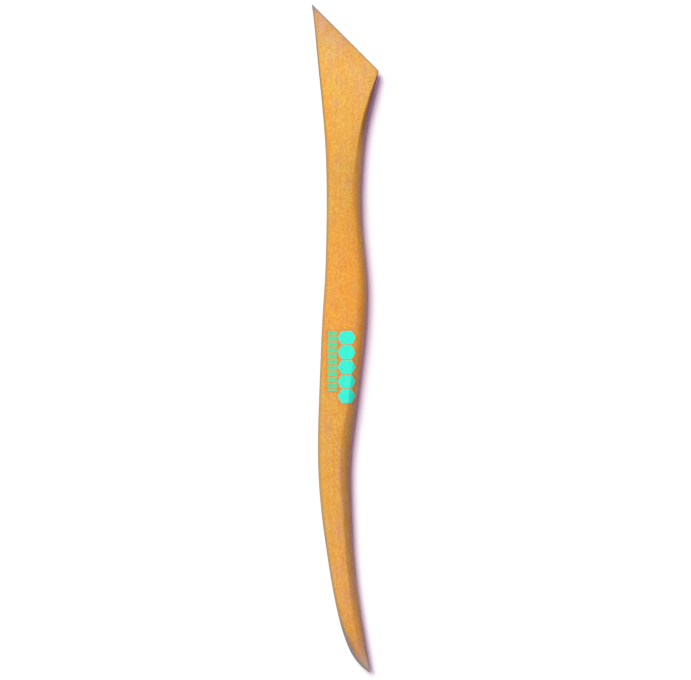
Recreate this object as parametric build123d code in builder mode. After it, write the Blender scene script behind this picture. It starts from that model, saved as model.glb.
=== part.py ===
from build123d import *

import os
from typing import NamedTuple

# Double-ended modelling tool for clay, carved from one strip of boxwood, with a printed band on the handle.
# It lies flat on its back: X runs across it, Y along it towards the knife end, and Z up from the surface
# it rests on. The origin is under the middle of its bounding box. Millimetres throughout.

LENGTH = 200.0  # between the two blunted ends
HANDLE_THICKNESS = 8.0  # between the planed front and back of the handle
HANDLE_BLANK = 8.25  # thickness of the handle before it is planed
MID_HEIGHT = HANDLE_THICKNESS / 2  # the body is symmetric about this height
EDGE_THICKNESS = 0.6  # what the two sanded cutting edges are left at

# Knife end: a straight edge at 45 degrees, running down from the point to the heel
KNIFE_POINT = (-9.95, 100.15)
KNIFE_BEVEL_SLOPE = 0.28  # rise of each bevel per millimetre in from the edge

# Claw end: a convex edge sweeping from the left side round to the tip
CLAW_EDGE = [(-3.5, -80.0), (-1.0, -86.8), (0.3, -90.6), (1.75, -94.0), (4.05, -97.3), (7.4, -100.15)]
CLAW_WASTE = [(13.0, -103.0), (13.0, -125.0), (-20.0, -125.0), (-20.0, -80.0)]  # clear of the wood
CLAW_BEVEL_LEAN = (1.1, 1.9, 1.9)  # direction in which each bevel leads in from the edge

# Printed band: a column of hexagons with a finer column of ticks beside it
INK_THICKNESS = 0.05
HEXAGON_MIDDLE = (0.55, -8.6)  # X and Y of the middle of the column
HEXAGON_COUNT = 5
HEXAGON_WIDTH = 5.4  # from point to point
HEXAGON_FLAT = 3.0  # the side that runs across the tool
HEXAGON_LENGTH = 4.0
HEXAGON_PITCH = 4.35
TICK_MIDDLE = (-3.7, -6.9)
TICK_COUNT = 20
TICK_WIDTH = 2.7
TICK_LENGTH = 0.6
TICK_PITCH = 0.9


class Station(NamedTuple):
    """One cross-section of the blank. The front and back are flat and both sides are worked back."""

    y: float  # place along the tool
    left: float  # X of the left side
    right: float  # X of the right side
    thickness: float
    left_reach: float  # how far in from the edge the left side is worked back
    right_reach: float
    crease: float  # 0 where a side is round and flows out of the face, 1 where it is chamfered off it


# The blank runs on past both ends of the tool, which are cut from it
STATIONS = [
    Station(118.0, -11.95, 17.6, 0.9, 0.3, 0.3, 0.9),
    Station(102.0, -10.2, 14.35, 1.4, 0.4, 0.4, 0.9),
    Station(86.0, -8.4, 11.1, 2.5, 0.5, 0.5, 0.9),
    Station(75.0, -7.32, 8.9, 3.7, 0.6, 0.8, 0.9),
    Station(64.0, -6.3, 6.35, 5.3, 0.7, 1.6, 0.9),
    Station(54.0, -5.68, 5.2, 6.8, 0.9, 2.0, 0.8),
    Station(43.0, -5.45, 4.68, 7.9, 1.0, 1.9, 0.7),
    Station(31.0, -5.55, 5.25, HANDLE_BLANK, 1.1, 1.9, 0.7),
    Station(18.0, -5.97, 6.45, HANDLE_BLANK, 1.1, 2.1, 0.7),
    Station(5.0, -6.78, 6.2, HANDLE_BLANK, 1.1, 2.4, 0.7),
    Station(-8.0, -7.34, 4.93, HANDLE_BLANK, 1.1, 2.7, 0.7),
    Station(-22.0, -7.87, 3.2, HANDLE_BLANK, 1.1, 3.0, 0.7),
    Station(-36.0, -8.05, 1.6, 7.9, 1.1, 2.7, 0.8),
    Station(-50.0, -7.23, 1.68, 7.3, 1.1, 2.1, 0.8),
    Station(-65.0, -5.28, 2.45, 6.4, 1.0, 1.8, 0.9),
    Station(-80.0, -2.65, 4.2, 5.1, 0.9, 1.8, 0.9),
    Station(-92.0, 0.35, 6.15, 3.7, 0.8, 1.6, 0.9),
    Station(-104.0, 3.2, 8.2, 2.2, 0.6, 1.1, 0.9),
    Station(-118.0, 6.5, 10.6, 0.9, 0.4, 0.5, 0.9),
]


def make_blank(growth):
    """The lofted blank with its handle planed, larger all round by growth."""
    with BuildPart() as blank:
        for station in STATIONS:
            half = station.thickness / 2 + growth
            flat_left = station.left + station.left_reach
            flat_right = station.right - station.right_reach
            # The middle of a cubic reaches three quarters of the way to its control points
            left_bulge = flat_left - (station.left_reach + growth) * 4 / 3
            right_bulge = flat_right + (station.right_reach + growth) * 4 / 3
            shoulder = half * (1 - station.crease * 2 / 3)
            section_plane = Plane(origin=(0, station.y, MID_HEIGHT), x_dir=(1, 0, 0), z_dir=(0, -1, 0))
            with BuildSketch(section_plane):
                with BuildLine():
                    Line((flat_left, half), (flat_right, half))
                    Bezier((flat_right, half), (right_bulge, shoulder), (right_bulge, -shoulder), (flat_right, -half))
                    Line((flat_right, -half), (flat_left, -half))
                    Bezier((flat_left, -half), (left_bulge, -shoulder), (left_bulge, shoulder), (flat_left, half))
                make_face()
        loft()
        split(bisect_by=Plane.XY.offset(HANDLE_THICKNESS + growth), keep=Keep.BOTTOM)
        split(bisect_by=Plane.XY.offset(-growth), keep=Keep.TOP)
    return blank.part


def make_wooden_body():
    """The whole tool, carved from the blank: a knife edge at one end and a claw edge at the other."""
    with BuildPart() as wooden_body:
        add(make_blank(growth=0))

        # Blunt the two ends square to the tool
        split(bisect_by=Plane.XZ.offset(LENGTH / 2), keep=Keep.BOTTOM)
        split(bisect_by=Plane.XZ.offset(-LENGTH / 2), keep=Keep.TOP)

        # Cut the knife end off at 45 degrees and bevel it from both faces
        edge_point = Vector(KNIFE_POINT[0], KNIFE_POINT[1], MID_HEIGHT)
        outward = Vector(1, 1, 0).normalized()
        split(bisect_by=Plane(edge_point, z_dir=outward), keep=Keep.BOTTOM)
        for face in (1, -1):
            bevel_foot = edge_point + Vector(0, 0, face * EDGE_THICKNESS / 2)
            bevel_normal = outward * KNIFE_BEVEL_SLOPE + Vector(0, 0, face)
            split(bisect_by=Plane(bevel_foot, z_dir=bevel_normal), keep=Keep.BOTTOM)

        # Trim the claw along its convex edge, then bevel it from both faces
        for face in (1, -1):
            for start, lean in ((0, (0, 0, 1)), (EDGE_THICKNESS / 2, CLAW_BEVEL_LEAN)):
                with BuildSketch(Plane.XY.offset(MID_HEIGHT + face * start)):
                    with BuildLine():
                        Spline(CLAW_EDGE)
                        Polyline(CLAW_EDGE[-1], *CLAW_WASTE, CLAW_EDGE[0])
                    make_face()
                direction = (lean[0], lean[1], face * lean[2])
                extrude(amount=HANDLE_THICKNESS, dir=direction, mode=Mode.SUBTRACT)
    wooden_body.part.label = "wooden_body"
    return wooden_body.part


def make_printed_band(wood):
    """Ink on the front of the handle: a thin film that follows the wood under each printed shape."""
    with BuildPart() as printed_band:
        with BuildSketch(Plane.XY.offset(MID_HEIGHT)):
            with Locations(HEXAGON_MIDDLE):
                with GridLocations(0, HEXAGON_PITCH, 1, HEXAGON_COUNT):
                    Polygon(
                        (-HEXAGON_WIDTH / 2, 0),
                        (-HEXAGON_FLAT / 2, -HEXAGON_LENGTH / 2),
                        (HEXAGON_FLAT / 2, -HEXAGON_LENGTH / 2),
                        (HEXAGON_WIDTH / 2, 0),
                        (HEXAGON_FLAT / 2, HEXAGON_LENGTH / 2),
                        (-HEXAGON_FLAT / 2, HEXAGON_LENGTH / 2),
                    )
            with Locations(TICK_MIDDLE):
                with GridLocations(0, TICK_PITCH, 1, TICK_COUNT):
                    Rectangle(TICK_WIDTH, TICK_LENGTH)
        extrude(amount=HANDLE_THICKNESS)
        add(make_blank(growth=INK_THICKNESS), mode=Mode.INTERSECT)
        add(wood, mode=Mode.SUBTRACT)
    printed_band.part.label = "printed_band"
    return printed_band.part


os.makedirs("parts", exist_ok=True)
body = make_wooden_body()
band = make_printed_band(body)
for piece in (body, band):
    export_step(piece, f"parts/{piece.label}.step")
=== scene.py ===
import math

import bpy
import numpy as np
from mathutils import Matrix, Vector, noise
from mathutils.bvhtree import BVHTree


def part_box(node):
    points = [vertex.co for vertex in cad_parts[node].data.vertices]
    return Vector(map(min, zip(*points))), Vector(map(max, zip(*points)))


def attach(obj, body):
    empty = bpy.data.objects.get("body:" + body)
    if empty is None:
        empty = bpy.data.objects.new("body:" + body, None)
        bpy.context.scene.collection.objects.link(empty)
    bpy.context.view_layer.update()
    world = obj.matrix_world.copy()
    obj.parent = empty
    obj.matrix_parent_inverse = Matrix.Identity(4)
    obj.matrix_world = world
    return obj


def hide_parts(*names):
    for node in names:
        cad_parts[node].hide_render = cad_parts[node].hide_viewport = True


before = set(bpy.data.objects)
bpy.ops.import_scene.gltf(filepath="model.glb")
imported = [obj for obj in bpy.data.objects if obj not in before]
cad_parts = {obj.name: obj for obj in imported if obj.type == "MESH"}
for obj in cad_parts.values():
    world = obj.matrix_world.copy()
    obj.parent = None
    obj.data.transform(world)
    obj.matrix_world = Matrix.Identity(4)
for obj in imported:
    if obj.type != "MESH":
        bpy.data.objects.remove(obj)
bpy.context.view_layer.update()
noise.seed_set(1)  # the ink's outline wanders the same way on each run

# Lengths in this script are millimetres, in the CAD's own frame, and become metres when a mesh is made.
# Only the lights and the floor are given in metres.
MM = 0.001

# ---------------------------------------------------------------------------------------------
# The CAD body, measured: its plan outline and its half thickness, as smooth functions of Y
# ---------------------------------------------------------------------------------------------

SAMPLE_STEP = 0.25  # between the places where the outline is measured
SMOOTHING = 2.0e4  # irons out ripple shorter than about 8 mm
FAR = 50.0  # outside the tool, where the measuring rays start
CLAW_FADE_Y = -88.0  # above here the claw's bevel runs out into the rounded side
EDGE_MARGIN = 12  # samples of the knife's edge left out at its point and at its heel
HEEL_MARGIN = 1.0  # the right side is followed up to this far below the heel
CUT_MARGINS = (8.0, 6.0)  # how far above CLAW_FADE_Y and below the heel the blank's own shape shows
MIDDLE_SHARES = np.linspace(0.3, 0.7, 5)  # of the way across, where the thickness is measured
STEPS_IN = np.arange(0.05, 5, 0.1)  # in from a side, where the front's height is measured
NEARLY_FULL = 0.97  # share of the full half thickness at which a side counts as met by the face


class Outline:
    """Left side, right side and half thickness of the uncut blank, and the lines that cut its ends."""

    def __init__(self, node):
        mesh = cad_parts[node].data
        corners = [vertex.co / MM for vertex in mesh.vertices]
        self.tree = BVHTree.FromPolygons(corners, [face.vertices for face in mesh.polygons])
        low, high = (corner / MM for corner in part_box(node))
        self.middle = (low.z + high.z) / 2
        self.top_y = high.y
        self.tip_y = low.y
        self.y = np.arange(low.y + SAMPLE_STEP, high.y, SAMPLE_STEP)
        left = np.array([self.ray((-FAR, y, self.middle), (1, 0, 0)).x for y in self.y])
        right = np.array([self.ray((FAR, y, self.middle), (-1, 0, 0)).x for y in self.y])

        # Above the heel, the right side is the knife's straight 45 degree edge: x + y is constant
        heel = int(np.argmax(right))
        above = slice(heel + EDGE_MARGIN, -EDGE_MARGIN)
        self.edge_sum = float(np.median(right[above] + self.y[above]))
        self.heel_y = float(self.y[heel])

        below = self.y < self.heel_y - HEEL_MARGIN
        self.left_line = self.smooth_line(self.y, left)
        self.right_line = self.smooth_line(self.y[below], right[below])
        uncut = (self.y > CLAW_FADE_Y + CUT_MARGINS[0]) & (self.y < self.heel_y - CUT_MARGINS[1])
        sides = list(zip(self.y[uncut], left[uncut], right[uncut]))
        half = [self.thickest(*side) for side in sides]
        left_reach = [self.reach(y, a, 1, full) for (y, a, b), full in zip(sides, half)]
        right_reach = [self.reach(y, b, -1, full) for (y, a, b), full in zip(sides, half)]
        self.half_line = self.smooth_line(self.y[uncut], np.array(half))
        self.left_reach = self.smooth_line(self.y[uncut], np.array(left_reach))
        self.right_reach = self.smooth_line(self.y[uncut], np.array(right_reach))

    def ray(self, start, direction):
        """Where a ray from start first meets the CAD body."""
        return self.tree.ray_cast(Vector(start), Vector(direction))[0]

    def thickest(self, y, left, right):
        """Half the greatest thickness across the tool at y."""
        places = left + (right - left) * MIDDLE_SHARES
        return max(self.ray((x, y, FAR), (0, 0, -1)).z for x in places) - self.middle

    def reach(self, y, side, inward, full):
        """How far in from a side the front has come back to nearly the full half thickness."""
        tops = [self.ray((side + inward * step, y, FAR), (0, 0, -1)).z for step in STEPS_IN]
        heights = np.maximum.accumulate(tops) - self.middle
        return float(np.interp(NEARLY_FULL * full, heights, STEPS_IN))

    @staticmethod
    def smooth_line(y, values):
        """A smooth function through measured values, carried straight on past both ends."""
        third = np.diff(np.eye(len(values)), 3, axis=0)
        values = np.linalg.solve(np.eye(len(values)) + SMOOTHING * third.T @ third, values)
        slope_low = (values[1] - values[0]) / (y[1] - y[0])
        slope_high = (values[-1] - values[-2]) / (y[-1] - y[-2])

        def line(at):
            inner = np.interp(at, y, values)
            under = np.minimum(at - y[0], 0) * slope_low
            over = np.maximum(at - y[-1], 0) * slope_high
            return inner + under + over

        return line


outline = Outline("wooden_body")

# ---------------------------------------------------------------------------------------------
# The carved body: rings of faces that run round the tool, from the knife edge to the claw's tip
# ---------------------------------------------------------------------------------------------

ROWS = 560  # of faces along the tool
COLUMNS = 56  # of faces across the front, and as many across the back
SLANT_END = 38.0  # Y below which the rings run square across the tool
EDGE_HALF = 0.3  # half thickness of the two cutting edges
SIDE_EDGE = 0.06  # half height of the ring's first step round a rounded side
TINY = 0.001  # keeps a share of the width from dividing by nothing

# How far in from a side the wood is worked back
LEAST_REACH = 0.35  # on the thinnest blade
REACH_GAIN = 1.08  # times as far as in the CAD
REACH_WAVER = 0.08  # more or less than that, in slow waves
LEFT_WAVE = (3.0, 9.0)  # seed and length of the waves on either side
RIGHT_WAVE = (8.0, 7.0)
NECK_Y = (50, 62)  # between these the flank on the right narrows towards the knife
NECK_NARROWING = 0.15
CLAW_FLANK_Y = (-10, -50)  # and between these it widens towards the claw
CLAW_FLANK_WIDENING = 0.17

# How crisply a side meets the face: 1 at an arris, 0 where it flows into it
HANDLE_CRISPNESS = 0.7
CRISP_HALF = (3.95, 3.2)  # half thickness where a side is as on the handle, and where it is crispest
FLOW_START_Y = (-14, 4)  # the handle's right side flows more and more from here to there
FLOW_END_Y = (54, 44)  # and does so again from the other end
FLOW_WIDENING = 0.3  # how much further in it is worked back where it flows
FLOW_SOFTENING = 0.75  # how much of its crispness it loses there

SOFTENING = 0.3  # how far the arrises are sanded over
CLAW_SOFTENING = 1.4  # the same between the claw's face and its bevel
KNIFE_SLOPE = 0.28  # rise of the two bevels per millimetre in from their edges
CLAW_SLOPE = 1.0
CLAW_FADE_SLOPE = 0.35  # rise of the claw's bevel per millimetre above CLAW_FADE_Y
CROWN = 0.2  # how much higher the middle of a thick face is than its sides
CROWN_HALF = (2.0, 4.0)  # half thickness at which a face is still flat, and at which it has its full crown

UNEVENNESS = 0.02  # depth of the slow waves that sanding leaves
UNEVEN_LENGTHS = (5, 11)  # of those waves, across and along
UNEVEN_SEED = 2.0
UNEVEN_LOWEST = 0.6  # the waves hardly ever fall further than this below zero
MARKED_HEIGHT = (0.3, 1.0)  # height of the front where it has no waves or knocks yet, and where it has all
KNOCK_STRETCH = 1.7  # times as long along the grain as across it
KNOCKS = (  # Y, share of the way across, depth, size
    (73.0, 0.22, 0.08, 0.5),
    (56.5, 0.83, 0.14, 0.6),
    (33.0, 0.06, 0.12, 0.6),
    (14.0, 0.86, 0.12, 0.7),
    (-27.5, 0.3, 0.06, 0.6),
    (-41.0, 0.76, 0.14, 0.6),
    (-63.0, 0.1, 0.12, 0.5),
    (-84.0, 0.72, 0.1, 0.5),
)


def smooth_min(a, b, reach=SOFTENING):
    """The lesser of two heights, with the corner between them rounded."""
    blend = np.maximum(reach - np.abs(a - b), 0) / reach
    return np.minimum(a, b) - blend * blend * reach / 4


def smoothstep(absent, full, value):
    """A smooth rise from 0, where value is absent, to 1, where it is full. Either may be the greater."""
    share = np.clip((value - absent) / (full - absent), 0, 1)
    return share * share * (3 - 2 * share)


def waver(y, seed, length):
    """A slow random wave along the tool, from -1 to 1, as a hand leaves in a long cut."""
    rows, places = np.unique(y, return_inverse=True)
    # The noise is zero at whole numbers, which the half keeps it away from
    values = np.array([noise.noise(Vector((seed, row / length, 0.5))) for row in rows])
    return values[places].reshape(y.shape)


def side_profile(distance, reach, crisp):
    """Share of the full half thickness at a distance in from a side.

    The side meets the face at an angle where crisp is 1, and flows into it where crisp is 0.
    """
    share = np.sqrt(np.clip(distance / reach, 0, 1))
    round_over = share * (3 - share**2) / 2
    return round_over + (share - round_over) * crisp


def body_height(x, y):
    """Height of the front above the middle of the tool."""
    half = outline.half_line(y)
    from_left = np.maximum(x - outline.left_line(y), 0)
    from_right = np.maximum(outline.right_line(y) - x, 0)
    left_reach = np.maximum(outline.left_reach(y), LEAST_REACH)
    left_reach = left_reach * (REACH_GAIN + REACH_WAVER * waver(y, *LEFT_WAVE))
    right_reach = np.maximum(outline.right_reach(y), LEAST_REACH)
    right_reach = right_reach * (REACH_GAIN + REACH_WAVER * waver(y, *RIGHT_WAVE))
    right_reach = right_reach * (1 - NECK_NARROWING * smoothstep(*NECK_Y, y))
    right_reach = right_reach * (1 + CLAW_FLANK_WIDENING * smoothstep(*CLAW_FLANK_Y, y))
    flowing = smoothstep(*FLOW_START_Y, y) * smoothstep(*FLOW_END_Y, y)
    right_reach = right_reach * (1 + FLOW_WIDENING * flowing)
    crisp = HANDLE_CRISPNESS + (1 - HANDLE_CRISPNESS) * smoothstep(*CRISP_HALF, half)
    left = side_profile(from_left, left_reach, crisp)
    right = side_profile(from_right, right_reach, crisp * (1 - FLOW_SOFTENING * flowing))
    across = from_left / (from_left + from_right + TINY)
    crown = CROWN * smoothstep(*CROWN_HALF, half) * (2 * across - 1) ** 2
    height = half * left * right - crown

    # Both bevels rise from an edge and cut the height down near it
    knife = EDGE_HALF + KNIFE_SLOPE * (outline.edge_sum - x - y) / math.sqrt(2)
    height = smooth_min(height, knife)
    lean = np.gradient(outline.left_line(outline.y), outline.y)
    square = 1 / np.sqrt(1 + np.interp(y, outline.y, lean) ** 2)
    fade = CLAW_FADE_SLOPE * np.maximum(y - CLAW_FADE_Y, 0)
    claw = EDGE_HALF + CLAW_SLOPE * from_left * square + fade
    return np.maximum(smooth_min(height, claw, CLAW_SOFTENING), SIDE_EDGE)


def surface_marks(x, y):
    """Height lost from the front to slow unevenness of the sanding and to small knocks."""
    places = zip(x.ravel() / UNEVEN_LENGTHS[0], y.ravel() / UNEVEN_LENGTHS[1])
    uneven = np.array([noise.noise(Vector((a, b, UNEVEN_SEED))) for a, b in places]).reshape(x.shape)
    lost = UNEVENNESS * (uneven + UNEVEN_LOWEST)
    width = outline.right_line(y) - outline.left_line(y)
    across = (x - outline.left_line(y)) / width
    for knock_y, knock_across, depth, size in KNOCKS:
        away = np.hypot((across - knock_across) * width, (y - knock_y) / KNOCK_STRETCH) / size
        lost = lost + depth * np.exp(-away * away)
    return lost


def plan_grid():
    """X and Y of the front's grid points: a row for each ring, a column for each place across."""
    start = outline.top_y
    length = start - outline.tip_y
    left_y = start - length * np.linspace(0, 1, ROWS + 1)
    slant = (start - outline.heel_y) * smoothstep(SLANT_END, start, left_y)
    right_y = left_y - slant
    left_x = outline.left_line(left_y)
    right_x = np.minimum(outline.right_line(right_y), outline.edge_sum - right_y)
    across = (1 - np.cos(np.linspace(0, math.pi, COLUMNS + 1))) / 2
    x = left_x[:, None] + (right_x - left_x)[:, None] * across
    y = left_y[:, None] + (right_y - left_y)[:, None] * across
    return x, y


def make_piece(name, points, faces):
    """A new object of the points and faces, which are in millimetres."""
    mesh = bpy.data.meshes.new(name)
    mesh.from_pydata([Vector(point) * MM for point in points], [], faces)
    mesh.validate()
    piece = bpy.data.objects.new(name, mesh)
    bpy.context.scene.collection.objects.link(piece)
    return piece


def store(mesh, name, kind, key, values):
    """Keep values on a mesh's vertices, where a material can read them by name."""
    attribute = mesh.attributes.new(name, kind, "POINT")
    attribute.data.foreach_set(key, np.asarray(values, dtype=np.float32).ravel())


def make_body():
    """The whole tool as one closed mesh. The back is the front turned over, without its unevenness."""
    x, y = plan_grid()
    height = body_height(x, y)
    worn = np.maximum(height - surface_marks(x, y) * smoothstep(*MARKED_HEIGHT, height), SIDE_EDGE)
    front = np.stack([x, y, outline.middle + worn], axis=2)
    back = np.stack([x, y, outline.middle - height], axis=2)
    middle = np.stack([x, y, np.full_like(x, outline.middle)], axis=2)

    # A ring: the front from left to right, the right side, the back from right to left, the left side
    rings = np.concatenate([front, middle[:, -1:], back[:, ::-1], middle[:, :1]], axis=1)
    ring_size = rings.shape[1]
    points = [tuple(p) for p in rings.reshape(-1, 3)]
    faces = []
    for row in range(ROWS):
        for place in range(ring_size):
            after = (place + 1) % ring_size
            faces.append((
                row * ring_size + place,
                (row + 1) * ring_size + place,
                (row + 1) * ring_size + after,
                row * ring_size + after,
            ))

    # The two ends: a row of points along the middle, between the ring's front and its back
    for row, turned in ((0, False), (ROWS, True)):
        first = row * ring_size
        inner = list(range(len(points), len(points) + COLUMNS - 1))
        points += [tuple(p) for p in middle[row, 1:-1]]
        seam = [first + ring_size - 1, *inner, first + COLUMNS + 1]
        front_row = [first + place for place in range(COLUMNS + 1)]
        back_row = [first + 2 * COLUMNS + 2 - place for place in range(COLUMNS + 1)]
        for upper, lower in ((front_row, seam), (seam, back_row)):
            for place in range(COLUMNS):
                face = (upper[place], upper[place + 1], lower[place + 1], lower[place])
                faces.append(face[::-1] if turned else face)

    piece = make_piece("carved_body", points, faces)
    piece.data.shade_smooth()
    return piece


TONES = (  # Y, and how many times redder, greener and bluer the wood is there than in the handle's middle
    (95.0, 0.83, 0.98, 3.0),
    (82.0, 0.99, 1.18, 2.1),
    (66.0, 0.96, 1.11, 1.6),
    (50.0, 0.87, 1.03, 1.3),
    (24.0, 1.0, 1.0, 1.0),
    (8.0, 1.02, 1.01, 1.0),
    (-25.0, 0.92, 1.05, 1.6),
    (-70.0, 0.95, 1.05, 2.2),
    (-86.0, 0.93, 1.0, 1.95),
    (-92.0, 0.8, 0.9, 2.8),
)


# Where each mark on the wood lies: the product of its fades. A fade is one of paint's measures, its value
# where the mark is absent and its value where the mark is full.
STEEP = ("upright", 0.95, 0.6)
FACES_RIGHT = ("faces_right", 0, 1)
LEFT_RIM = (("from_left", 1.0, 0.3), ("height", -3.5, 1.5))
FADES = {
    # right_side: painted shade, darker and bluer, on the steep flanks that face right, away from the key
    # light
    "right_side": (STEEP, FACES_RIGHT),
    # claw_flank: painted shade, darker, on the claw's right flank
    "claw_flank": (STEEP, FACES_RIGHT, ("y", -12, -32), ("height", -0.5, 1.2)),
    # claw_foot: painted light, paler, low on the claw's right flank, lifting it out of its shade
    "claw_foot": (STEEP, FACES_RIGHT, ("y", -56, -92), ("height", 1.2, 0.0)),
    # painted shade, darker, on the steep right flank of the knife's neck
    "neck_flank_shade": (STEEP, ("y", 54, 64), ("from_right", 3.2, 2.2), ("from_knife", 0.3, 1.5)),
    # right_margin: painted shade on the face along its right side, as if it rolled off away from the light
    "right_margin": (("from_right", 5.0, 1.8), ("from_knife", 0.3, 4.0)),
    # left_rim and claw_rim: painted shade along the left sides, where they turn down from the face
    "left_rim": LEFT_RIM,
    "claw_rim": (*LEFT_RIM, ("y", -45, -60)),
    # edge: a painted dark outline, standing for shade, along the thin blades' edges; it also dulls the
    # varnish there
    "edge": (("from_outline", 0.55, 0.15), ("half", 2.9, 1.7)),
    "point": (("from_point", 3.4, 0.8),),
    "pale_tip": (("from_tip", 7.5, 0.5),),
    "claw_edge": (("from_left", 1.4, 0.4), ("y", -78, -90)),
    "streak": (("from_left", 3.0, 1.2), ("y", 36, 52), ("y", 96, 66)),
    "knife_bevel": (("from_knife", 12.0, 3.0), ("y", 68, 76)),
    # claw_bevel: painted shade on the claw's bevel, which faces down and away from the light
    "claw_bevel": (("from_left", 2.6, 1.0), ("y", -86, -92)),
    "stain": (("from_print", 1.2, 0.0), ("height", 0.5, 3.0)),
}
KNIFE_MARGIN_Y = (45, 60)  # the right margin is fainter towards the knife
KNIFE_MARGIN_LOSS = 0.5


def paint(piece, printed):
    """Store the wood's tone and the strength of each mark at every vertex."""
    mesh = piece.data
    place = np.array([vertex.co for vertex in mesh.vertices]) / MM
    normal = np.array([vertex.normal for vertex in mesh.vertices])
    x, y, height = place[:, 0], place[:, 1], place[:, 2] - outline.middle
    from_left = x - outline.left_line(y)
    from_right = outline.right_line(y) - x
    from_knife = (outline.edge_sum - x - y) / math.sqrt(2)
    measures = {
        "y": y,
        "height": height,
        "half": outline.half_line(y),
        "upright": np.abs(normal[:, 2]),
        "faces_right": (normal[:, 0] > 0).astype(float),
        "from_left": from_left,
        "from_right": from_right,
        "from_knife": from_knife,
        "from_outline": np.minimum(np.minimum(from_left, from_right), from_knife),
        "from_point": np.hypot(from_left, outline.top_y - y),
        "from_tip": y - outline.tip_y,
        "from_print": np.min([shape.distance(x, y) for shape in printed], axis=0),
    }
    for name, fades in FADES.items():
        strength = np.ones_like(y)
        for measure, absent, full in fades:
            strength = strength * smoothstep(absent, full, measures[measure])
        if name == "right_margin":
            strength = strength * (1 - KNIFE_MARGIN_LOSS * smoothstep(*KNIFE_MARGIN_Y, y))
        store(mesh, name, "FLOAT", "value", strength)

    stations = np.array(sorted(TONES))
    tone = [np.interp(y, stations[:, 0], stations[:, part]) for part in (1, 2, 3)]
    store(mesh, "tone", "FLOAT_COLOR", "color", np.stack([*tone, np.ones_like(y)], axis=1))


# ---------------------------------------------------------------------------------------------
# The printed band: each shape of the CAD's ink, draped over the carved wood as a thin film
# ---------------------------------------------------------------------------------------------

INK_RISE = 0.03  # how far the ink stands above the wood
INK_ROOT = 0.1  # how far its underside lies below the wood's surface
INK_CREEP = 0.1  # how far its outline wanders
CREEP_SCALE = (2.2, 1.4)  # how many times it wanders in a millimetre, across and along
CREEP_SEED = 4.0
INK_CELL = 0.15  # size of the film's faces
FINE_HALF_LENGTH = 0.5  # half length under which a shape counts as finely printed
FLAT_DEPTH = 0.2  # how near to a shape's top a corner lies that belongs to the flat there


class InkShape:
    """One printed shape: a six-sided patch, symmetric both ways, that narrows towards two points."""

    def __init__(self, corners):
        corners = np.array(corners)
        low, high = corners.min(axis=0), corners.max(axis=0)
        self.middle = (low + high) / 2
        self.half_width, self.half_length = (high - low) / 2
        along_top = corners[corners[:, 1] > high[1] - FLAT_DEPTH]
        self.half_flat = np.ptp(along_top[:, 0]) / 2

    def half_width_at(self, along):
        """Half the width at a share of the way from the middle, 0, to either flat, 1."""
        return self.half_width + (self.half_flat - self.half_width) * np.minimum(along, 1)

    def distance(self, x, y):
        """Roughly how far each place lies outside the shape."""
        away_x, away_y = np.abs(x - self.middle[0]), np.abs(y - self.middle[1])
        beside = away_x - self.half_width_at(away_y / self.half_length)
        return np.maximum(np.maximum(beside, away_y - self.half_length), 0)

    def film(self, wood):
        """Points and faces: a top and an underside that follow the wood, and a rim between them."""
        columns = round(2 * self.half_width / INK_CELL)
        rows = 2 * round(self.half_length / INK_CELL)
        top = []
        for v in np.linspace(-1, 1, rows + 1):
            for u in np.linspace(-1, 1, columns + 1):
                x = self.middle[0] + u * self.half_width_at(abs(v))
                y = self.middle[1] + v * self.half_length
                seed = Vector((x * CREEP_SCALE[0], y * CREEP_SCALE[1], CREEP_SEED))
                creep = noise.noise_vector(seed) * INK_CREEP
                above = Vector((x + creep.x, y + creep.y, FAR))
                top.append(wood.ray_cast(above, Vector((0, 0, -1)))[0])
        rise, root = Vector((0, 0, INK_RISE)), Vector((0, 0, INK_ROOT))
        points = [point + rise for point in top] + [point - root for point in top]

        stride = columns + 1
        faces = []
        for row in range(rows):
            for column in range(columns):
                first = row * stride + column
                face = (first, first + 1, first + stride + 1, first + stride)
                faces.append(face)
                faces.append(tuple(corner + len(top) for corner in face[::-1]))
        lower = list(range(columns))
        right = [row * stride + columns for row in range(rows)]
        upper = [rows * stride + column for column in range(columns, 0, -1)]
        left = [row * stride for row in range(rows, 0, -1)]
        rim = lower + right + upper + left
        for corner, after in zip(rim, rim[1:] + rim[:1]):
            faces.append((corner, corner + len(top), after + len(top), after))
        return points, faces


def ink_shapes():
    """Every separate shape in the CAD's ink."""
    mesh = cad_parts["printed_band"].data
    corners = [tuple(round(value / MM, 3) for value in vertex.co) for vertex in mesh.vertices]
    joined = {corner: corner for corner in corners}

    def root(corner):
        while joined[corner] != corner:
            corner = joined[corner]
        return corner

    for face in mesh.polygons:
        for vertex in face.vertices[1:]:
            joined[root(corners[vertex])] = root(corners[face.vertices[0]])
    shapes = {}
    for corner in joined:
        shapes.setdefault(root(corner), []).append(corner[:2])
    return [InkShape(shapes[key]) for key in sorted(shapes)]


def make_print(shapes, under):
    """The printed shapes as one piece. The small ones are marked as finely printed."""
    wood = BVHTree.FromPolygons(
        [vertex.co / MM for vertex in under.data.vertices],
        [face.vertices for face in under.data.polygons],
    )
    points, faces, fine = [], [], []
    for shape in shapes:
        shape_points, shape_faces = shape.film(wood)
        start = len(points)
        points += shape_points
        faces += [tuple(corner + start for corner in face) for face in shape_faces]
        fine += [shape.half_length < FINE_HALF_LENGTH] * len(shape_points)
    piece = make_piece("stamped_print", points, faces)
    store(piece.data, "fine", "FLOAT", "value", fine)
    return piece


body = make_body()
printed = ink_shapes()
stamp = make_print(printed, body)
paint(body, printed)
for piece, node, slot in ((body, "wooden_body", "varnished_wood"), (stamp, "printed_band", "print_ink")):
    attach(piece, "root")
    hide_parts(node)

# ---------------------------------------------------------------------------------------------
# Materials
# ---------------------------------------------------------------------------------------------


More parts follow.
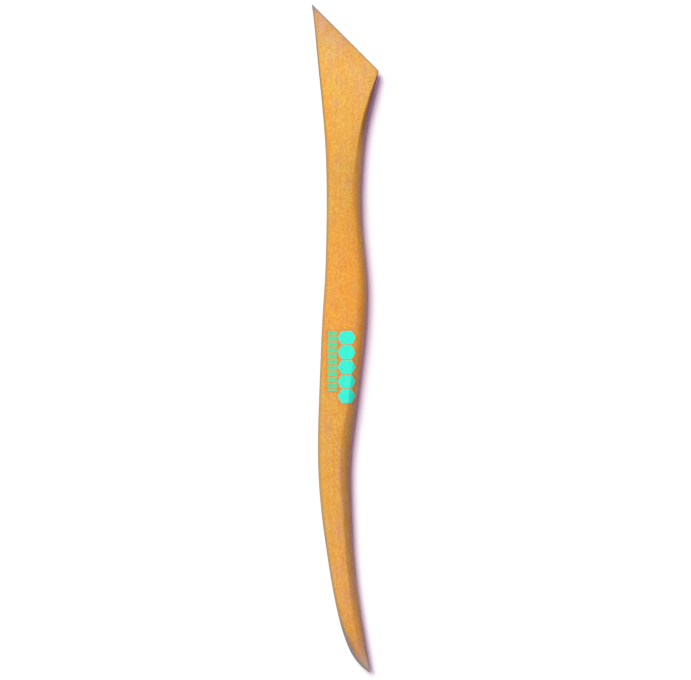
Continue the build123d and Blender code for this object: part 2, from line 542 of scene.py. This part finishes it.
class Graph:
    """A material's nodes, written as calls that take and return sockets or plain values."""

    def __init__(self, name):
        self.material = bpy.data.materials.new(name)
        self.material.use_nodes = True
        self.tree = self.material.node_tree
        self.shader = self.tree.nodes["Principled BSDF"]

    def node(self, kind, *inputs, **settings):
        """A new node, with what goes into its sockets in order."""
        made = self.tree.nodes.new(kind)
        for key, value in settings.items():
            setattr(made, key, value)
        for place, value in enumerate(inputs):
            if value is not None:
                self.feed(made.inputs[place], value)
        return made

    def feed(self, socket, value):
        """Link a socket to another, or set it to a plain value."""
        if isinstance(value, bpy.types.NodeSocket):
            self.tree.links.new(value, socket)
        else:
            socket.default_value = value

    def math(self, operation, *values, clamp=False):
        return self.node("ShaderNodeMath", *values, operation=operation, use_clamp=clamp).outputs[0]

    def vector(self, operation, *values):
        made = self.node("ShaderNodeVectorMath", *values, operation=operation)
        return made.outputs["Value" if operation == "LENGTH" else "Vector"]

    def place(self):
        """The place on the piece, in millimetres."""
        return self.vector("MULTIPLY", self.node("ShaderNodeTexCoord").outputs["Object"], (1 / MM,) * 3)

    def noise(self, place, scale, detail=2.0, roughness=0.5):
        """Noise whose features are 1 / scale millimetres along each axis, from 0 to 1."""
        made = self.node("ShaderNodeTexNoise", self.vector("MULTIPLY", place, scale))
        made.inputs["Scale"].default_value = 1.0
        made.inputs["Detail"].default_value = detail
        made.inputs["Roughness"].default_value = roughness
        return made.outputs["Fac"]

    def ramp(self, share, *stops):
        """A value that follows share through (position, value) stops."""
        made = self.node("ShaderNodeValToRGB", share)
        made.color_ramp.interpolation = "B_SPLINE"
        made.color_ramp.elements[0].position = stops[0][0]
        made.color_ramp.elements[1].position = stops[-1][0]
        for place, (position, value) in enumerate(stops):
            if 0 < place < len(stops) - 1:
                made.color_ramp.elements.new(position)
            made.color_ramp.elements[place].color = (value, value, value, 1)
        return made.outputs[0]

    def mix(self, share, a, b, blend="MIX"):
        """Colour a with a share of colour b mixed in, or multiplied in."""
        made = self.node("ShaderNodeMix", data_type="RGBA", blend_type=blend)
        for socket, value in ((made.inputs[0], share), (made.inputs[6], a), (made.inputs[7], b)):
            self.feed(socket, value)
        return made.outputs[2]

    def attribute(self, name, output="Fac"):
        """What paint or make_print has stored on the mesh."""
        return self.node("ShaderNodeAttribute", attribute_name=name).outputs[output]

    def bump(self, height, depth, under=None):
        """Normals of a height from 0 to 1 that stands for a depth in millimetres."""
        made = self.node("ShaderNodeBump")
        made.inputs["Strength"].default_value = 1.0
        made.inputs["Distance"].default_value = depth * MM
        self.feed(made.inputs["Height"], height)
        if under is not None:
            self.feed(made.inputs["Normal"], under)
        return made.outputs[0]


# The wood's own colours, and what multiplies them in its rings, fibres and flecks
GOLD = (0.61, 0.328, 0.023, 1)
AMBER = (0.61, 0.243, 0.01, 1)
ROSE = (0.55, 0.243, 0.055, 1)
SPECK = (0.65, 0.385, 0.03, 1)
RING_TINT = (0.9, 0.8, 0.7, 1)
FLECK_TINT = (0.72, 0.62, 0.5, 1)
SPECK_SHARE = 0.6
RING_SHARE = 0.35
FIBRE_SHARE = 0.4
FLECK_SHARE = 0.6

# The grain: how many features there are in a millimetre, across, along and up the tool
DRIFT_SCALE = (0.03, 0.012, 0.03)
YEAR_SCALE = (0.35, 0.01, 0.35)
FIBRE_SCALE = (3.5, 0.25, 3.5)
DOT_SCALE = (2.3, 1.5, 2.3)
MOTTLE_SCALE = (0.5, 0.3, 0.5)
BLUSH_SCALE = (0.42, 0.14, 0.42)
STREAK_SCALE = (0.5, 0.035, 0.5)
BLUSH_SHIFT = (31.0, 17.0, 5.0)  # so that blush, streaks and mottle don't follow each other
STREAK_SHIFT = (7.0, 3.0, 11.0)
DRIFT = (3.0, 0.0, 3.0)  # how far the grain wanders sideways and up
PITH = (32.0, 26.0)  # how far the tree's centre lies to the left of the tool and below it
PITH_LEAN = 0.05  # how far it moves sideways in each millimetre along the tool
RING_WIDTH = 1.3

# What each of paint's marks multiplies the colour by
MARK_TINTS = {
    "streak": (1.08, 0.95, 0.4, 1),
    "knife_bevel": (1.0, 1.02, 1.35, 1),
    # claw_bevel: painted shade on the claw's bevel
    "claw_bevel": (0.68, 0.66, 1.4, 1),
    # right_margin: painted shade on the face along its right side
    "right_margin": (0.92, 0.88, 1.1, 1),
    # right_side: painted shade, darker and bluer, on the flanks that face right
    "right_side": (0.92, 0.94, 1.6, 1),
    # claw_flank: painted shade, darker, on the claw's right flank
    "claw_flank": (0.82, 0.86, 0.85, 1),
    # claw_foot: painted light, paler, low on the claw's right flank
    "claw_foot": (1.5, 1.9, 1.8, 1),
    # painted shade, darker, on the right flank of the knife's neck
    "neck_flank_shade": (0.6, 0.52, 0.6, 1),
    # edge: a painted dark outline, standing for shade at the thin blades' edges
    "edge": (0.55, 0.6, 1.7, 1),
    "stain": (0.92, 0.76, 0.8, 1),
}
# RIM is painted shade: a dark colour laid along the left sides, where they turn down from the face
RIM = (0.28, 0.212, 0.088, 1)
RIM_SHARE = 0.5  # how much of the left rim is covered by that, where there is no fleck
RIM_FLECK_SHARE = 0.25  # and how much more where there is one
CLAW_RIM_GAIN = 0.45  # and how many times more on the claw
PALE_GREY = (0.34, 0.285, 0.215, 1)
GREY = (0.16, 0.16, 0.135, 1)
MARK_COVERS = (  # mark, how much of the wood it covers, colour
    ("pale_tip", 0.8, PALE_GREY),
    ("point", 0.748, GREY),
    ("claw_edge", 0.88, GREY),
)

# The varnish is dull where the wood's fibres, flecks and worn edges break it
VARNISH_ROUGHNESS = 0.48
FIBRE_ROUGHNESS = 0.2
FLECK_ROUGHNESS = 0.15
EDGE_ROUGHNESS = 0.25
VARNISH_SPECULAR = 0.25
COAT_WEIGHT = 0.05
COAT_ROUGHNESS = 0.35
FIBRE_DEPTH = 0.03
FLECK_DEPTH = 0.02

INK = (0.0, 0.68, 0.5, 1)
INK_THIN = (0.0, 0.6, 0.39, 1)
INK_FINE = (0.02, 0.56, 0.27, 1)
INK_THIN_SCALE = (1.2, 0.5, 1.2)  # patches in a millimetre where it is thin
INK_BARE_SCALE = (5.0, 1.0, 5.0)  # and where the wood is bare
INK_ROUGHNESS = 0.65
INK_SPECULAR = 0.05
INK_DEPTH = 0.02


def wood_grain(graph):
    """Colour, flecks and fibres of a straight-grained close wood whose grain runs along Y."""
    place = graph.place()
    drift = graph.node("ShaderNodeTexNoise", graph.vector("MULTIPLY", place, DRIFT_SCALE))
    drift.inputs["Scale"].default_value = 1.0
    drift = graph.vector("SUBTRACT", drift.outputs["Color"], (0.5, 0.5, 0.5))
    grain = graph.vector("ADD", place, graph.vector("MULTIPLY", drift, DRIFT))

    # Growth rings are tubes about the tree's centre, which leans a little to the tool
    parts = graph.node("ShaderNodeSeparateXYZ", grain)
    across = graph.math("MULTIPLY_ADD", parts.outputs["Y"], PITH_LEAN, parts.outputs["X"])
    across = graph.math("ADD", across, PITH[0])
    up = graph.math("ADD", parts.outputs["Z"], PITH[1])
    radius = graph.vector("LENGTH", graph.node("ShaderNodeCombineXYZ", across, up).outputs[0])
    year = graph.noise(grain, YEAR_SCALE)
    ring = graph.math("FRACT", graph.math("ADD", graph.math("DIVIDE", radius, RING_WIDTH), year))
    ring = graph.ramp(ring, (0.0, 0.1), (0.45, 0.15), (0.82, 1.0), (0.95, 0.3), (1.0, 0.1))

    # A fleck is the darkest part of the fine dots in the wood, and a speck the palest
    fibre = graph.noise(grain, FIBRE_SCALE, detail=4.0, roughness=0.6)
    dots = graph.noise(grain, DOT_SCALE, detail=2.0, roughness=0.6)
    fleck = graph.ramp(dots, (0.46, 0.0), (0.68, 1.0))
    speck = graph.ramp(dots, (0.32, 1.0), (0.44, 0.0))
    mottle = graph.noise(grain, MOTTLE_SCALE, detail=3.0, roughness=0.55)
    blush = graph.noise(graph.vector("ADD", grain, BLUSH_SHIFT), BLUSH_SCALE, detail=3.0, roughness=0.55)
    streak = graph.noise(graph.vector("ADD", grain, STREAK_SHIFT), STREAK_SCALE)

    colour = graph.mix(graph.ramp(mottle, (0.38, 0.0), (0.6, 1.0)), GOLD, AMBER)
    colour = graph.mix(graph.ramp(blush, (0.48, 0.0), (0.68, 0.9)), colour, ROSE)
    colour = graph.mix(graph.ramp(streak, (0.42, 0.0), (0.66, 0.6)), colour, AMBER)
    colour = graph.mix(graph.math("MULTIPLY", speck, SPECK_SHARE), colour, SPECK)
    colour = graph.mix(graph.math("MULTIPLY", ring, RING_SHARE), colour, RING_TINT, "MULTIPLY")
    shade = graph.ramp(fibre, (0.3, 0.0), (0.7, 1.0))
    colour = graph.mix(graph.math("MULTIPLY", shade, FIBRE_SHARE), colour, RING_TINT, "MULTIPLY")
    colour = graph.mix(graph.math("MULTIPLY", fleck, FLECK_SHARE), colour, FLECK_TINT, "MULTIPLY")
    return colour, fleck, fibre


def make_wood():
    """Boxwood under a thin satin varnish, with the tone and the marks that paint has stored."""
    graph = Graph("varnished_boxwood")
    colour, fleck, fibre = wood_grain(graph)
    colour = graph.mix(1.0, colour, graph.attribute("tone", "Color"), "MULTIPLY")
    for mark, tint in MARK_TINTS.items():
        colour = graph.mix(graph.attribute(mark), colour, tint, "MULTIPLY")
    # The left rims get painted shade, patchier where there are flecks
    left_rim, claw_rim = graph.attribute("left_rim"), graph.attribute("claw_rim")
    rim = graph.math("MULTIPLY_ADD", claw_rim, CLAW_RIM_GAIN, left_rim)
    rim_shade = graph.math("MULTIPLY_ADD", fleck, RIM_FLECK_SHARE, RIM_SHARE)
    colour = graph.mix(graph.math("MULTIPLY", rim, rim_shade), colour, RIM)
    for mark, share, cover in MARK_COVERS:
        colour = graph.mix(graph.math("MULTIPLY", graph.attribute(mark), share), colour, cover)
    graph.feed(graph.shader.inputs["Base Color"], colour)

    rough = graph.math("MULTIPLY_ADD", fibre, FIBRE_ROUGHNESS, VARNISH_ROUGHNESS)
    rough = graph.math("MULTIPLY_ADD", fleck, FLECK_ROUGHNESS, rough)
    rough = graph.math("MULTIPLY_ADD", graph.attribute("edge"), EDGE_ROUGHNESS, rough, clamp=True)
    graph.feed(graph.shader.inputs["Roughness"], rough)
    relief = graph.bump(fibre, FIBRE_DEPTH)
    relief = graph.bump(graph.math("SUBTRACT", 1.0, fleck), FLECK_DEPTH, relief)
    graph.feed(graph.shader.inputs["Normal"], relief)
    graph.shader.inputs["Specular IOR Level"].default_value = VARNISH_SPECULAR
    graph.shader.inputs["Coat Weight"].default_value = COAT_WEIGHT
    graph.shader.inputs["Coat Roughness"].default_value = COAT_ROUGHNESS
    return graph.material


def make_ink():
    """Stamping ink, thinner in patches and worn through to the wood in a few spots."""
    graph = Graph("stamping_ink")
    wood, _, fibre = wood_grain(graph)
    place = graph.place()
    thin = graph.noise(place, INK_THIN_SCALE, detail=3.0, roughness=0.6)
    colour = graph.mix(graph.ramp(thin, (0.45, 0.0), (0.75, 1.0)), INK, INK_THIN)
    colour = graph.mix(graph.attribute("fine"), colour, INK_FINE)
    bare = graph.noise(place, INK_BARE_SCALE, detail=3.0, roughness=0.6)
    bare = graph.ramp(bare, (0.7, 0.0), (0.82, 0.9))
    graph.feed(graph.shader.inputs["Base Color"], graph.mix(bare, colour, wood))
    rough = graph.math("MULTIPLY_ADD", fibre, FIBRE_ROUGHNESS, INK_ROUGHNESS)
    graph.feed(graph.shader.inputs["Roughness"], rough)
    graph.feed(graph.shader.inputs["Normal"], graph.bump(graph.math("ADD", fibre, bare), INK_DEPTH))
    graph.shader.inputs["Specular IOR Level"].default_value = INK_SPECULAR
    return graph.material


body.data.materials.append(make_wood())
stamp.data.materials.append(make_ink())

# ---------------------------------------------------------------------------------------------
# Camera, light and floor
# ---------------------------------------------------------------------------------------------

VIEW_WIDTH = 206.9  # width of the picture at the tool
VIEW_CENTRE = (0.21, -0.6)  # X and Y of what the camera looks at
LENS = 100.0
SENSOR = 36.0
LIGHT_DISTANCE = 12.0  # in metres
FLOOR_HALF = 12.0  # half the side of the floor, in metres
FLOOR_COLOUR = (0.72, 0.72, 0.72, 1)
FLOOR_ROUGHNESS = 0.9
WALL_TOP = (0.12, 0.3)  # sines of the angles above the horizon between which the walls become the ceiling
WALL_COLOUR = (0.85, 0.82, 0.85, 1)
CEILING_COLOUR = (0.14, 0.12, 0.14, 1)


def make_camera():
    """A camera straight above the tool, with the knife's end at the top of the picture."""
    data = bpy.data.cameras.new("camera")
    data.lens = LENS
    data.sensor_width = SENSOR
    distance = VIEW_WIDTH * LENS / SENSOR
    camera = bpy.data.objects.new("camera", data)
    camera.location = Vector((*VIEW_CENTRE, outline.middle + distance)) * MM
    bpy.context.scene.collection.objects.link(camera)
    bpy.context.scene.camera = camera


def make_light(name, azimuth, elevation, size, power, colour):
    """A round soft light that looks at the tool: angles in degrees, size in metres, power in watts."""
    data = bpy.data.lights.new(name, "AREA")
    data.shape = "DISK"
    data.size = size
    data.energy = power
    data.color = colour
    light = bpy.data.objects.new(name, data)
    a, e = math.radians(azimuth), math.radians(elevation)
    toward = Vector((math.cos(a) * math.cos(e), math.sin(a) * math.cos(e), math.sin(e)))
    light.location = toward * LIGHT_DISTANCE
    light.rotation_mode = "QUATERNION"
    light.rotation_quaternion = toward.to_track_quat("Z", "Y")
    bpy.context.scene.collection.objects.link(light)


def make_floor():
    """A plain pale table top, wide enough to have no edge in view."""
    half = FLOOR_HALF
    corners = [(-half, -half, 0), (half, -half, 0), (half, half, 0), (-half, half, 0)]
    mesh = bpy.data.meshes.new("floor")
    mesh.from_pydata(corners, [], [(0, 1, 2, 3)])
    floor = bpy.data.objects.new("floor", mesh)
    bpy.context.scene.collection.objects.link(floor)
    material = bpy.data.materials.new("floor")
    material.use_nodes = True
    shader = material.node_tree.nodes["Principled BSDF"]
    shader.inputs["Base Color"].default_value = FLOOR_COLOUR
    shader.inputs["Roughness"].default_value = FLOOR_ROUGHNESS
    mesh.materials.append(material)


def make_world():
    """A studio with pale walls and a darker ceiling."""
    world = bpy.data.worlds.new("studio")
    world.use_nodes = True
    tree = world.node_tree
    background = tree.nodes["Background"]
    direction = tree.nodes.new("ShaderNodeTexCoord").outputs["Generated"]
    parts = tree.nodes.new("ShaderNodeSeparateXYZ")
    tree.links.new(direction, parts.inputs[0])
    ramp = tree.nodes.new("ShaderNodeValToRGB")
    tree.links.new(parts.outputs["Z"], ramp.inputs[0])
    low, high = ramp.color_ramp.elements
    low.position, low.color = WALL_TOP[0], WALL_COLOUR
    high.position, high.color = WALL_TOP[1], CEILING_COLOUR
    tree.links.new(ramp.outputs[0], background.inputs["Color"])
    bpy.context.scene.world = world


make_camera()
make_light("key", azimuth=127, elevation=61, size=6.2, power=2090.0, colour=(0.905, 1.0, 0.91))
make_light("fill", azimuth=0, elevation=90, size=9.0, power=430.0, colour=(1.0, 0.33, 1.0))
make_floor()
make_world()
bpy.context.scene.view_settings.view_transform = "Standard"
